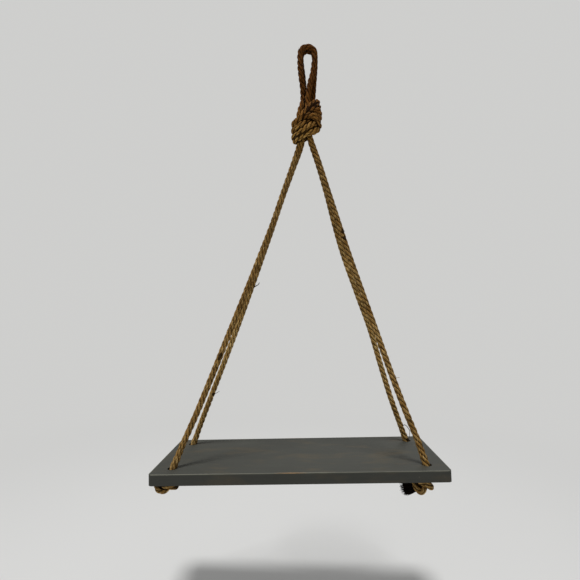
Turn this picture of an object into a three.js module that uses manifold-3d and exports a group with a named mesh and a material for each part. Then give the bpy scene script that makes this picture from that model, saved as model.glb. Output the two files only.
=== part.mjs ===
// Hanging rope shelf
//
// One painted board hangs on two ropes. Each rope comes up through a front or a back pair of
// holes, and both lie side by side over a hook. Below the hook all four parts are tied in one
// fat overhand knot, and under the board each rope ends in a stopper knot with a frayed tail.
//
// Millimetres, +X to the right along the board, +Y to the back, +Z up. The origin is the point
// inside the top of the hanging loop where the hook carries the shelf.

import * as THREE from 'three';
import { mergeVertices } from 'three/addons/utils/BufferGeometryUtils.js';
import Module from 'manifold-3d';

const wasm = await Module();
wasm.setup();

const degrees = THREE.MathUtils.degToRad;
const up = new THREE.Vector3(0, 0, 1);
const acrossLean = new THREE.Vector3(0, 1, 0);

// Board
const boardLength = 508;
const boardDepth = 203;
const boardThickness = 19.05;
const boardCornerRadius = 6.5;
const boardArris = 0.8;
const boardCurveSteps = 8;
const boardDrop = 793.5;       // from the hook down to the middle of the top face
const boardAside = -1.5;       // that middle lies this far along X from the hook
const boardLean = degrees(2.4); // the right legs are tied shorter, so the right end hangs higher

// Holes for the rope
const holeDiameter = 15.9;
const holeInsetEnd = 33;
const holeInsetEdge = 30;

// Rope
const ropeDiameter = 12;
const seatGap = 0.3;           // between two solids that touch on the real shelf
const gridPitch = 1;           // the places that the ropes pass are given on this grid
const ropeSides = 10;
const curveSteps = 600;        // marks by which the length along a route is measured
const ropeStep = 14;           // along a straight run
const legStep = 12;            // along a leg
const bendStep = 6;            // along a bend

// Hanging loop
const crownReach = 10;         // the crown ends this far below the hook
const strandSplit = 50;        // upper and lower strands part here
const knotTop = 92;            // the lower strands end and the knot begins here

// Knot that ties all four parts
const knotAside = 3.3;         // the middle of the knot lies this far along X from the hook
const turnDiameter = 12.3;
const coreDrop = 146;          // from the hook down to the middle of the core
const coreHalfWidth = 20;
const coreHalfDepth = 14.3;
const coreHalfHeight = 33;
const coreAround = 20;
const coreRings = 14;
const legsBelow = 52;          // the legs part from the knot this far below that middle

// Legs
const rimLean = 1.1;           // a leg leans on the inner rim of its hole
const straightAbove = 16;      // a leg runs straight down to the rim over this height
const holeLean = 1.2;          // and on the outer wall at the foot of the hole

// Stopper knots and frayed ends
const stopperSqueezeShare = 0.76; // of the rope's diameter is left in a knot pulled tight
const stopperGap = 0.7;        // between the turns of one knot
const frayLength = 22;
const frayDiameter = 21;
const frayWaistShare = 0.6;    // of the length, where the brush is widest
const frayTipShare = 0.95;     // of the widest diameter is left at the tip

// Work on the solids
const weldGap = 1e-4;
const searchGap = 0.003;

const ropeSide = (ropeDiameter + seatGap * 2) / 2;
const legsBegin = coreDrop + legsBelow;

// Helpers

function place(x, y, z) {
  return new THREE.Vector3(x, y, z);
}

// A point given on the grid, from the hook or from the middle of the knot
function onGrid(x, y, z) {
  return place(x, y, z).multiplyScalar(gridPitch);
}

// A point given on the board: x and y from the middle of the top face, z above that face
function onBoard(x, y, z) {
  const point = place(x, y, z).applyAxisAngle(acrossLean, -boardLean);
  return point.add(place(boardAside, 0, -boardDrop));
}

// The outline of a rope's cross-section
function ropeSection(diameter) {
  const corners = [];
  for (let i = 0; i < ropeSides; i += 1) {
    const angle = (i / ropeSides) * 2 * Math.PI;
    corners.push(new THREE.Vector2(Math.cos(angle), Math.sin(angle)).multiplyScalar(diameter / 2));
  }
  return new THREE.Shape(corners);
}

// One stretch of a longer route, from one length along it to another
class Stretch extends THREE.Curve {
  constructor(route, from, to) {
    super();
    this.route = route;
    this.from = from / route.getLength();
    this.to = to / route.getLength();
  }

  getPoint(t, target = new THREE.Vector3()) {
    return this.route.getPointAt(THREE.MathUtils.clamp(this.from + (this.to - this.from) * t, 0, 1), target);
  }
}

function ropeAlong(curve, diameter, step) {
  const steps = Math.max(2, Math.round(curve.getLength() / step));
  return new THREE.ExtrudeGeometry(ropeSection(diameter), { steps, extrudePath: curve, bevelEnabled: false });
}

// The length along a route at which it passes a depth below the hook, between two lengths
function lengthAtDrop(route, drop, low, high) {
  const total = route.getLength();
  const sinks = route.getPointAt(low / total).z > route.getPointAt(high / total).z;
  let near = low;
  let far = high;
  while (far - near > searchGap) {
    const middle = (near + far) / 2;
    const below = route.getPointAt(middle / total).z < -drop;
    if (below === sinks) {
      far = middle;
    } else {
      near = middle;
    }
  }
  return near;
}

// Solids that are cut and joined
function solidOf(geometry) {
  const bare = geometry.clone();
  bare.deleteAttribute('normal');
  bare.deleteAttribute('uv');
  const merged = mergeVertices(bare, weldGap);
  return new wasm.Manifold(new wasm.Mesh({
    numProp: 3,
    vertProperties: new Float32Array(merged.attributes.position.array),
    triVerts: new Uint32Array(merged.index.array),
  }));
}

function geometryOf(solid) {
  const mesh = solid.getMesh();
  const geometry = new THREE.BufferGeometry();
  geometry.setAttribute('position', new THREE.BufferAttribute(new Float32Array(mesh.vertProperties), 3));
  geometry.setIndex(new THREE.BufferAttribute(new Uint32Array(mesh.triVerts), 1));
  geometry.computeVertexNormals();
  return geometry;
}

function joined(solids) {
  return solids.reduce((whole, solid) => whole.add(solid));
}

// Materials
const paintedWood = { color: 0x55544c, roughness: 0.8, metalness: 0 };
const juteRope = { color: 0x8f6a3c, roughness: 0.95, metalness: 0 };
const frayedJute = { color: 0x2c2118, roughness: 1, metalness: 0 };

const shelf = new THREE.Group();

function addPiece(name, geometry, finish) {
  const mesh = new THREE.Mesh(geometry, new THREE.MeshStandardMaterial(finish));
  mesh.name = name;
  shelf.add(mesh);
  return mesh;
}

// Board: a plank with rounded corners, eased edges and four drilled holes

const corners = [
  { end: 'left', side: 'front', toEnd: -1, toBack: -1 },
  { end: 'left', side: 'back', toEnd: -1, toBack: 1 },
  { end: 'right', side: 'front', toEnd: 1, toBack: -1 },
  { end: 'right', side: 'back', toEnd: 1, toBack: 1 },
];

function holeX(corner) {
  return corner.toEnd * (boardLength / 2 - holeInsetEnd);
}

function holeY(corner) {
  return corner.toBack * (boardDepth / 2 - holeInsetEdge);
}

function boardShape() {
  const x = boardLength / 2;
  const y = boardDepth / 2;
  const r = boardCornerRadius;
  const outline = new THREE.Shape();
  outline.moveTo(-x + r, -y);
  outline.lineTo(x - r, -y);
  outline.absarc(x - r, -y + r, r, -Math.PI / 2, 0, false);
  outline.lineTo(x, y - r);
  outline.absarc(x - r, y - r, r, 0, Math.PI / 2, false);
  outline.lineTo(-x + r, y);
  outline.absarc(-x + r, y - r, r, Math.PI / 2, Math.PI, false);
  outline.lineTo(-x, -y + r);
  outline.absarc(-x + r, -y + r, r, Math.PI, 1.5 * Math.PI, false);
  for (const corner of corners) {
    const hole = new THREE.Path();
    hole.absarc(holeX(corner), holeY(corner), holeDiameter / 2, 0, 2 * Math.PI, true);
    outline.holes.push(hole);
  }
  return outline;
}

function boardGeometry() {
  const geometry = new THREE.ExtrudeGeometry(boardShape(), {
    depth: boardThickness - 2 * boardArris,
    bevelEnabled: true,
    bevelSegments: 1,
    bevelThickness: boardArris,
    bevelSize: boardArris,
    bevelOffset: -boardArris,
    curveSegments: boardCurveSteps,
  });
  geometry.translate(0, 0, boardArris - boardThickness);
  return geometry;
}

const board = addPiece('board', boardGeometry(), paintedWood);
board.position.copy(onBoard(0, 0, 0));
board.rotation.y = -boardLean;

// Hanging loop: each rope rises out of the knot, lies over the hook and goes back down.
// The routes run from inside the knot on the left to inside the knot on the right.

// Each place is x, how far the rope strays back from its own side of the loop, and z.

const loopRoutes = {
  front: [
    [-12, 0, -142], [-11.2, 0, -132], [-9, 0, -122], [-6, 1.5, -112], [-4.4, 3.5, -102],
    [-4.3, 4.2, -93], [-4.9, 3.6, -82], [-6, 2.2, -72], [-7.7, 0.8, -62], [-9.2, 0, -52],
    [-10.6, 0, -41], [-11.3, 0, -31], [-11.7, 0, -20], [-11.7, 0, -8], [-9.6, 0, 0.2],
    [-4.6, 0, 5.1], [2.9, 0, 6.7], [9.6, 0, 5], [15, 0, 0], [17.4, 0, -8], [17.4, 0, -18],
    [16.3, 0, -31], [15.2, 0, -41], [13.4, 0, -52], [10.9, -1.2, -61], [8.6, -2.8, -72],
    [7.4, -3.8, -82], [6.4, -4.2, -93], [5.4, -3, -103], [4.8, -1.5, -113], [5, 0, -128],
    [5, 0, -142],
  ],
  back: [
    [-5, 0, -142], [-4.4, 0, -130], [-3.4, 1.5, -118], [-2.6, 3.4, -105], [-2.4, 4.4, -93],
    [-2.6, 4.2, -82], [-3.2, 3, -72], [-4.4, 1.4, -62], [-5.6, 0, -52], [-7, 0, -41],
    [-8.6, 0, -31], [-9.8, 0, -20], [-10.6, 0, -8], [-8.6, 0, 0.2], [-3.8, 0, 5.1],
    [3.4, 0, 6.7], [10, 0, 5], [15.4, 0, 0], [17.8, 0, -8], [18, 0, -20], [18, 0, -31],
    [17.4, 0, -41], [16.9, 0, -52], [16.3, 0, -62], [15.8, 0, -72], [15.3, 0, -82],
    [14.8, 0, -93], [14.2, 0, -105], [13, 0, -118], [12, 0, -130], [12, 0, -142],
  ],
};

const ropes = ['front', 'back'];
const ends = ['left', 'right'];
const towards = { front: -1, back: 1, left: -1, right: 1 };

function routeThrough(points) {
  const route = new THREE.CatmullRomCurve3(points, false, 'centripetal');
  route.arcLengthDivisions = curveSteps;
  return route;
}

function loopRoute(rope) {
  const side = place(0, towards[rope] * ropeSide, 0);
  return routeThrough(loopRoutes[rope].map((spot) => onGrid(...spot).add(side)));
}

// Lengths at which one rope's loop is parted, from the left knot end to the right one
function loopCuts(route) {
  const total = route.getLength();
  const middle = total / 2;
  const drops = [knotTop, strandSplit, crownReach];
  const left = drops.map((drop) => lengthAtDrop(route, drop, 0, middle));
  const right = drops.map((drop) => lengthAtDrop(route, drop, middle, total));
  return { left, right, total };
}

for (const rope of ropes) {
  const route = loopRoute(rope);
  const { left, right } = loopCuts(route);
  const half = seatGap / 2;
  const crown = new Stretch(route, left[2] + half, right[2] - half);
  addPiece(`${rope}_rope_crown`, ropeAlong(crown, ropeDiameter, bendStep), juteRope);
  const upperLeft = new Stretch(route, left[1] + half, left[2] - half);
  const upperRight = new Stretch(route, right[2] + half, right[1] - half);
  const lowerLeft = new Stretch(route, left[0] + half, left[1] - half);
  const lowerRight = new Stretch(route, right[1] + half, right[0] - half);
  addPiece(`${rope}_left_upper_strand`, ropeAlong(upperLeft, ropeDiameter, ropeStep), juteRope);
  addPiece(`${rope}_right_upper_strand`, ropeAlong(upperRight, ropeDiameter, ropeStep), juteRope);
  addPiece(`${rope}_left_lower_strand`, ropeAlong(lowerLeft, ropeDiameter, ropeStep), juteRope);
  addPiece(`${rope}_right_lower_strand`, ropeAlong(lowerRight, ropeDiameter, ropeStep), juteRope);
}

// Legs: from inside the knot down to a hole, through the board to its underside.
// Each leaves the knot at x and z from its middle, and is bowed sideways at shares of the way.

const legs = {
  front_left: { out: [-12.3, -44.3], bows: [3.4, 5.4, 8.2, 8.3, 7.7, 6.4, 5.4, 4.2, 2.2] },
  back_left: { out: [-9.8, -44.3], bows: [0.2, 0, 1.5, 2.4, 3.3, 3.2, 2.1, 0.6, -0.4] },
  front_right: { out: [8.4, -37.3], bows: [-0.1, -1.8, -3.4, -5, -5.2, -4.9, -4.6, -2.8, 0] },
  back_right: { out: [8.6, -37.3], bows: [0.6, -1, -4.8, -6.8, -4, -0.8, -2.6, -3.4, -1.8] },
};
const knotMiddle = place(knotAside, 0, -coreDrop);
const wayShares = [0.08, 0.17, 0.27, 0.37, 0.5, 0.62, 0.74, 0.85, 0.93];
const insideShare = 0.5;

function legRoute(corner) {
  const leg = legs[`${corner.side}_${corner.end}`];
  const y = towards[corner.side] * ropeSide;
  const out = onGrid(leg.out[0], 0, leg.out[1]).add(knotMiddle).setY(y);
  const inside = place(out.x * insideShare, y, knotMiddle.z - coreHalfHeight * insideShare);
  const x = holeX(corner);
  const deep = holeY(corner);
  const inward = knotMiddle.clone().sub(onBoard(x, deep, 0)).setZ(0).normalize();
  const rim = onBoard(x + inward.x * rimLean, deep + inward.y * rimLean, 0);
  const points = [inside, out];
  wayShares.forEach((share, i) => {
    const point = out.clone().lerp(rim, share);
    point.x += leg.bows[i] * gridPitch;
    points.push(point);
  });
  const last = points[points.length - 1];
  points.push(rim.clone().lerp(last, straightAbove / (last.z - rim.z)));
  points.push(rim);
  points.push(onBoard(x - inward.x * holeLean / 2, deep - inward.y * holeLean / 2, -boardThickness / 3));
  points.push(onBoard(x - inward.x * holeLean, deep - inward.y * holeLean, -boardThickness * 2 / 3));
  points.push(onBoard(x - inward.x * holeLean, deep - inward.y * holeLean, -boardThickness));
  return routeThrough(points);
}

for (const corner of corners) {
  const route = legRoute(corner);
  const total = route.getLength();
  const begin = lengthAtDrop(route, legsBegin, 0, total);
  const leg = new Stretch(route, begin + seatGap / 2, total);
  addPiece(`${corner.side}_${corner.end}_leg`, ropeAlong(leg, ropeDiameter, legStep), juteRope);
}

// Knot: tilted turns bind the core, in which the strands and the legs meet. The front rope
// makes the four upper turns, two of which arch over a hollow at the right, and the back rope
// the three below. Each turn's places are counted from the middle of the core.

const turns = [
  { rope: 'front',
    places: [
      [4, 10, 35], [10.5, 17, 40], [18, 10, 43], [20.2, 1, 41], [18, -8, 37], [12.5, -14.5, 31],
      [5.7, -18.5, 23], [-3.2, -21, 11], [-12.2, -20, -0.5], [-20, -13, -5], [-24.5, -3, -5],
      [-22, 7, -6], [-13, 15, -4], [-1, 19, 6], [8, 18.5, 19], [12, 12, 27],
    ] },
  { rope: 'front',
    places: [
      [3, -9, 14], [8, -14.5, 20.5], [13.5, -15, 25.5], [18.5, -10, 29], [22, -2, 30.5],
      [22.5, 6, 29], [18, 13, 25], [10, 16.5, 19.5], [1, 16, 13],
    ] },
  { rope: 'front',
    places: [
      [-8.5, -10, 1.5], [-4.5, -16, 6.5], [1, -19.5, 11.5], [7.7, -19.5, 16], [15, -16, 19.5],
      [21.3, -9, 19.7], [24.5, 0, 16.5], [24, 9, 11.5], [18, 15.5, 6], [7, 18.5, 0.5],
      [-5, 17, -6.5], [-15, 10, -13],
    ] },
  { rope: 'front',
    places: [
      [-12, -8, -4], [-8.2, -15.5, -1.8], [-1.8, -20, 1.3], [5.9, -21, 4.8], [13, -18.5, 5],
      [18.3, -14, 1], [22.5, -8, -4], [23.7, 0, -9], [18.5, 9, -13], [8, 13, -13.5],
      [-2, 11, -12],
    ] },
  { rope: 'back',
    places: [
      [12, 2, 4], [8.5, -4, 1], [3.5, -12.5, -4], [-3.2, -18.5, -9.5], [-11, -20, -15], [-18, -16, -19.3],
      [-24, -6, -19.4], [-23, 5, -18.4], [-14, 13, -18], [-3, 17, -10], [9, 16, -2], [14, 9, 0],
    ] },
  { rope: 'back',
    places: [
      [9, 2, -9], [14.5, -6, -8.5], [12.5, -14, -10], [4.7, -20, -16.4], [-3, -21, -23.5],
      [-10.7, -19.5, -29], [-18, -14, -32.3], [-23.4, -4, -32], [-22, 6, -31.4], [-13, 13, -29],
      [-3, 16, -25], [6, 12, -21],
    ] },
  { rope: 'back',
    places: [
      [8, 8, -13], [16, 3, -15], [19.5, -5, -16.5], [14.7, -12.5, -22.4], [7, -16.5, -27.6],
      [-1, -17.5, -30], [-8.7, -17, -33.5], [-15.5, -13.5, -37.7], [-20.5, -6, -39.3],
      [-20.7, 3, -37.4], [-12.7, 10, -33], [-4, 13, -28], [4, 12, -22],
    ] },
];

function turnRoute(turn) {
  return routeThrough(turn.places.map((spot) => onGrid(...spot).add(knotMiddle)));
}

function turnSolids(rope, clearance) {
  const own = turns.filter((turn) => turn.rope === rope);
  return own.map((turn) => solidOf(ropeAlong(turnRoute(turn), turnDiameter + 2 * clearance, bendStep)));
}

function coreSolid(rope) {
  const ball = new THREE.SphereGeometry(1, coreAround, coreRings);
  ball.scale(coreHalfWidth, coreHalfDepth, coreHalfHeight);
  ball.translate(...knotMiddle.toArray());
  const side = new THREE.BoxGeometry(2 * coreHalfWidth, coreHalfDepth, 2 * coreHalfHeight);
  side.translate(knotMiddle.x, towards[rope] * (coreHalfDepth + seatGap) / 2, knotMiddle.z);
  return solidOf(ball).intersect(solidOf(side));
}

// The parts of a rope's strands and legs that run inside the knot
function stubSolids(rope, clearance) {
  const diameter = ropeDiameter + 2 * clearance;
  const route = loopRoute(rope);
  const { left, right, total } = loopCuts(route);
  const stubs = [
    ropeAlong(new Stretch(route, 0, left[0] - seatGap / 2), diameter, ropeStep),
    ropeAlong(new Stretch(route, right[0] + seatGap / 2, total), diameter, ropeStep),
  ];
  for (const corner of corners.filter(({ side }) => side === rope)) {
    const leg = legRoute(corner);
    const begin = lengthAtDrop(leg, legsBegin, 0, leg.getLength());
    stubs.push(ropeAlong(new Stretch(leg, 0, begin - seatGap / 2), diameter, ropeStep));
  }
  return stubs.map(solidOf);
}

const frontRest = joined([coreSolid('front').subtract(joined(stubSolids('back', seatGap))),
  ...stubSolids('front', 0), ...turnSolids('front', 0)]);
const frontKnot = frontRest.subtract(joined(turnSolids('back', seatGap)));
addPiece('front_rope_knot', geometryOf(frontKnot), juteRope);

const backRest = joined([coreSolid('back').subtract(joined(stubSolids('front', seatGap))),
  ...stubSolids('back', 0)]);
const backKnot = backRest.subtract(joined(turnSolids('front', seatGap)));
addPiece('back_rope_knot', geometryOf(joined([backKnot, ...turnSolids('back', 0)])), juteRope);

// Stopper knots: an overhand knot under each hole, in shares of the squeezed rope and the gap
// that its turns keep, from the middle of the hole's lower rim. The loose end leaves sideways.

const stopperShares = [
  [0, 0, 0], [0, 0, -0.2], [-0.2, -0.08, -0.55], [-0.45, -0.38, -1.08], [-0.7, -0.84, -1.58],
  [-1.15, -1.27, -1.78], [-1.75, -1.5, -1.55], [-2.3, -1.3, -1.15], [-2.55, -0.75, -0.75],
  [-2.4, -0.1, -0.6], [-1.9, 0.45, -0.6], [-1.3, 0.75, -0.8], [-0.6, 0.9, -1.05],
  [0.1, 0.8, -1.2], [0.6, 0.25, -1.25], [0.68, -0.5, -1.05], [0.3, -1.15, -0.75],
  [-0.4, -1.4, -0.6], [-1.12, -1.15, -0.6], [-1.53, -0.58, -0.9], [-1.77, -0.38, -1.47],
];
const tailOnShares = [[-2.15, -0.4, -1.5], [-2.5, -0.42, -1.55]];
const tailAcrossShares = [[-2, 0.05, -1.75], [-1.85, 0.6, -1.8], [-1.6, 1.15, -1.75]];

// How each knot is turned, how far it hangs against its plain shares, and where its tail goes
const stoppers = {
  front_left: { turn: -20, hangShare: 0.92, tail: tailAcrossShares },
  back_left: { turn: 120, hangShare: 1.2, tail: tailOnShares },
  front_right: { turn: -36, hangShare: 1.42, tail: tailOnShares },
  back_right: { turn: 160, hangShare: 1.1, tail: tailAcrossShares },
};

function underBoard(corner, turn, point) {
  point.applyAxisAngle(up, degrees(turn));
  return onBoard(holeX(corner) + point.x, holeY(corner) + point.y, point.z - boardThickness);
}

for (const corner of corners) {
  const key = `${corner.side}_${corner.end}`;
  const size = ropeDiameter * stopperSqueezeShare;
  const stopper = stoppers[key];
  const points = [...stopperShares, ...stopper.tail].map(([x, y, z]) => {
    const point = place(x, y, z * stopper.hangShare).multiplyScalar(size + stopperGap);
    point.z -= seatGap;
    return underBoard(corner, stopper.turn, point);
  });
  const route = routeThrough(points);
  addPiece(`${key}_stopper_knot`, ropeAlong(route, size, bendStep), juteRope);

  // Frayed end: the loose end opens out like a brush
  const tip = route.getPointAt(1);
  const heading = route.getTangentAt(1);
  const brush = new THREE.LatheGeometry([
    new THREE.Vector2(0, seatGap),
    new THREE.Vector2(size / 2, seatGap),
    new THREE.Vector2(frayDiameter / 2, frayLength * frayWaistShare),
    new THREE.Vector2(frayDiameter / 2 * frayTipShare, frayLength),
    new THREE.Vector2(0, frayLength),
  ], ropeSides);
  const piece = addPiece(`${key}_frayed_end`, brush, frayedJute);
  piece.position.copy(tip);
  piece.quaternion.setFromUnitVectors(new THREE.Vector3(0, 1, 0), heading);
}

export default shelf;
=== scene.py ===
# %% [markdown]
# # Hanging rope shelf
# A grey painted board hangs on two jute ropes. Each rope comes up through two holes of the
# board, and both lie side by side over a hook. Below the hook their four parts are tied in one
# fat overhand knot, and under the board each end is stopped by a small knot with a frayed tail.
#
# The fixed frame comes first: it holds every solid at its place, in metres, with +Z up and the
# origin where the hook carries the loop. Most pieces made below stand for one of those solids.

# %% Load the frame
import math

import bmesh
import bpy
import numpy as np
from mathutils import Matrix, Vector


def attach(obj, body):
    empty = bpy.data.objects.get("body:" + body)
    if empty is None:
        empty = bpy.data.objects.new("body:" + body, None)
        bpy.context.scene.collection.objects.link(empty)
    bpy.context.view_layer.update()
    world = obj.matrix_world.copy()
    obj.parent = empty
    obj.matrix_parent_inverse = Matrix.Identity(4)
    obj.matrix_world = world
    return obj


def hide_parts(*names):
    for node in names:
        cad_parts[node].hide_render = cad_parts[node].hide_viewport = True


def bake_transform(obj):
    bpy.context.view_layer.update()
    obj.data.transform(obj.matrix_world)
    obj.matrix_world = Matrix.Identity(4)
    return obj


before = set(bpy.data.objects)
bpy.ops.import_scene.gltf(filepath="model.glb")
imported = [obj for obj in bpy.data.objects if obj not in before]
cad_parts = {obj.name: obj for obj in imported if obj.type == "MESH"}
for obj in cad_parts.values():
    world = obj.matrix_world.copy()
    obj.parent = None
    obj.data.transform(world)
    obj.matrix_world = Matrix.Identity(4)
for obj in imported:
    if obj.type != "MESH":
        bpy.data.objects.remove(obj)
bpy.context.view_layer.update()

mm = 0.001


def in_scene(name, data):
    """A new object in the scene that shows the given data."""
    thing = bpy.data.objects.new(name, data)
    bpy.context.scene.collection.objects.link(thing)
    return thing


# %% [markdown]
# ## Camera
# The picture is square, and its middle is the lens axis, so the camera needs no shift. It
# stands about 0.83 m before the ropes, a little below the middle of their height, and looks
# slightly up. Blender's camera looks along its own -Z, so the three directions are set as the
# columns of its matrix.

# %% Set the camera
camera = in_scene("camera", bpy.data.cameras.new("camera"))
bpy.context.scene.camera = camera
camera_place = Vector((0.56, -825.37, -533.92)) * mm
camera_right = Vector((0.99943, 0.02857, 0.01783)).normalized()
camera_back = -Vector((-0.02964, 0.99760, 0.06252)).normalized()
camera_up = camera_back.cross(camera_right)
turned = Matrix((camera_right, camera_up, camera_back)).transposed()
camera.matrix_world = Matrix.Translation(camera_place) @ turned.to_4x4()
focal_pixels, picture_pixels = 423.69, 580
camera.data.sensor_width = 36
camera.data.lens = focal_pixels / picture_pixels * camera.data.sensor_width
print("lens in mm:", round(camera.data.lens, 2))

# %% [markdown]
# ## Routes of the ropes
# A rope is soft, but here each one is held all the way: by the hook, by the knot and by the
# board's weight. So its shape is a fixed line through a few chosen points. A centripetal
# Catmull-Rom curve passes through every point without overshooting, and resampling it at equal
# steps lets the lay of the rope run evenly along it.

# %% Curve through chosen points
rope_step = 1.3 * mm


def curve_through(points, per_span=40):
    """A centripetal Catmull-Rom curve through points, as many close points."""
    points = np.asarray(points, float)
    padded = np.vstack([2 * points[0] - points[1], points, 2 * points[-1] - points[-2]])
    pieces = []
    for p0, p1, p2, p3 in zip(padded, padded[1:], padded[2:], padded[3:]):
        d0, d1, d2 = (max(np.linalg.norm(b - a), 1e-9) ** 0.5 for a, b in ((p0, p1), (p1, p2), (p2, p3)))
        t1 = ((p1 - p0) / d0 - (p2 - p0) / (d0 + d1) + (p2 - p1) / d1) * d1
        t2 = ((p2 - p1) / d1 - (p3 - p1) / (d1 + d2) + (p3 - p2) / d2) * d1
        t = np.linspace(0, 1, per_span, endpoint=False)[:, None]
        square = -3 * p1 + 3 * p2 - 2 * t1 - t2
        cube = 2 * p1 - 2 * p2 + t1 + t2
        pieces.append(p1 + t1 * t + square * t**2 + cube * t**3)
    return np.vstack([*pieces, points[-1:]])


def length_along(line):
    return np.concatenate([[0], np.cumsum(np.linalg.norm(np.diff(line, axis=0), axis=1))])


def lengths_mm(lines):
    return [round(length_along(line)[-1] / mm) for line in lines]


def evenly(line, step=rope_step):
    """The same line with points at equal steps."""
    along = length_along(line)
    marks = np.linspace(0, along[-1], max(2, round(along[-1] / step) + 1))
    return np.stack([np.interp(marks, along, line[:, axis]) for axis in range(3)], axis=1)


# %% [markdown]
# A rope's strands wind round its middle line, so each point of the line also carries a
# sideways direction to count their angle from. Carrying one direction along the line with the
# least possible turning (the double reflection method) keeps the lay from speeding up or
# stopping in the bends.

# %% Sideways direction along a line
def headings(line):
    ahead = np.gradient(line, axis=0)
    return ahead / np.linalg.norm(ahead, axis=1, keepdims=True)


def carried_side(line):
    ahead = headings(line)
    start = np.cross(ahead[0], (0.3, 1.0, 0.2))
    sides = [start / np.linalg.norm(start)]
    for i in range(len(line) - 1):
        step = line[i + 1] - line[i]
        side = sides[-1] - 2 * step * (step @ sides[-1]) / (step @ step)
        turned = ahead[i] - 2 * step * (step @ ahead[i]) / (step @ step)
        change = ahead[i + 1] - turned
        size = change @ change
        if size > 1e-18:
            side = side - 2 * change * (change @ side) / size
        side = side - ahead[i + 1] * (side @ ahead[i + 1])
        sides.append(side / np.linalg.norm(side))
    return np.array(sides)


# %% [markdown]
# ### The board and its holes
# The board is 20 x 8 inch stock, and it hangs 2.4 degrees out of level because the ropes at
# the right are tied shorter. A point given on the board is turned and lowered to its place.

# %% Sizes of the board
board_length, board_depth, board_thickness = 508 * mm, 203 * mm, 19.05 * mm
board_middle = Vector((-1.5, 0, -793.5)) * mm
board_lean = math.radians(2.4)
hole_diameter = 15.9 * mm
hole_from_end, hole_from_edge = 33 * mm, 30 * mm
hole_x, hole_y = board_length / 2 - hole_from_end, board_depth / 2 - hole_from_edge
board_place = Matrix.Translation(board_middle) @ Matrix.Rotation(-board_lean, 4, "Y")
towards = {"front": -1, "back": 1, "left": -1, "right": 1}
corners = [(side, end) for end in ("left", "right") for side in ("front", "back")]


def on_board(x, y, z):
    return np.array(board_place @ Vector((x, y, z)))


hole_centres = [on_board(towards[end] * hole_x, towards[side] * hole_y, 0) for side, end in corners]
print("hole centres in mm:", [np.round(centre / mm, 1).tolist() for centre in hole_centres])

# %% [markdown]
# ### The hanging loop
# Both ropes rise out of the knot at the left, lie over the hook and go back down at the right.
# The front rope crosses before the back one where the loop narrows.

# %% Routes of the loop
rope_diameter = 12 * mm
rope_side = rope_diameter / 2 + 0.3 * mm
loop_points = {
    "front": [
        (-12, 0, -142), (-11.2, 0, -132), (-9, 0, -122), (-6, 1.5, -112), (-4.4, 3.5, -102),
        (-4.3, 4.2, -93), (-4.9, 3.6, -82), (-6, 2.2, -72), (-7.7, 0.8, -62), (-9.2, 0, -52),
        (-10.6, 0, -41), (-11.3, 0, -31), (-11.7, 0, -20), (-11.7, 0, -8), (-9.6, 0, 0.2),
        (-4.6, 0, 5.1), (2.9, 0, 6.7), (9.6, 0, 5), (15, 0, 0), (17.4, 0, -8), (17.4, 0, -18),
        (16.3, 0, -31), (15.2, 0, -41), (13.4, 0, -52), (10.9, -1.2, -61), (8.6, -2.8, -72),
        (7.4, -3.8, -82), (6.4, -4.2, -93), (5.4, -3, -103), (4.8, -1.5, -113), (5, 0, -128),
        (5, 0, -142),
    ],
    "back": [
        (-5, 0, -142), (-4.4, 0, -130), (-3.4, 1.5, -118), (-2.6, 3.4, -105), (-2.4, 4.4, -93),
        (-2.6, 4.2, -82), (-3.2, 3, -72), (-4.4, 1.4, -62), (-5.6, 0, -52), (-7, 0, -41),
        (-8.6, 0, -31), (-9.8, 0, -20), (-10.6, 0, -8), (-8.6, 0, 0.2), (-3.8, 0, 5.1),
        (3.4, 0, 6.7), (10, 0, 5), (15.4, 0, 0), (17.8, 0, -8), (18, 0, -20), (18, 0, -31),
        (17.4, 0, -41), (16.9, 0, -52), (16.3, 0, -62), (15.8, 0, -72), (15.3, 0, -82),
        (14.8, 0, -93), (14.2, 0, -105), (13, 0, -118), (12, 0, -130), (12, 0, -142),
    ],
}
loop_lines = {}
for rope, points in loop_points.items():
    placed = [(x * mm, towards[rope] * rope_side + stray * mm, z * mm) for x, stray, z in points]
    loop_lines[rope] = evenly(curve_through(placed))
print("front and back loop in mm:", lengths_mm(loop_lines.values()))

# %% [markdown]
# ### The legs
# From the knot each leg runs down to its hole. A real rope under a light load keeps a little of
# the bend it had on its coil, so the legs bow sideways by a few millimetres. At the board each
# leg lies against the inner rim of its hole and leaves a gap on the outer side.

# %% Routes of the legs
leg_out = {
    "front_left": ((-12.3, -44.3), (3.4, 5.4, 8.2, 8.3, 7.7, 6.4, 5.4, 3.9, 1.2)),
    "back_left": ((-9.8, -44.3), (0.2, 0, 1.5, 2.4, 3.3, 3.2, 2.1, 0.6, -0.4)),
    "front_right": ((8.4, -37.3), (-0.1, -1.8, -3.4, -5, -5.2, -4.9, -4.6, -2.8, 0)),
    "back_right": ((8.6, -37.3), (0.6, -1, -4.8, -6.8, -4, -0.8, -2.6, -3.4, -1.8)),
}
way_shares = (0.08, 0.17, 0.27, 0.37, 0.5, 0.62, 0.74, 0.85, 0.93)
rim_lean, hole_lean, straight_foot = 1.1 * mm, 1.2 * mm, 16 * mm
knot_middle = np.array((3.3, 0, -146)) * mm
knot_half_height = 33 * mm


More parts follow.
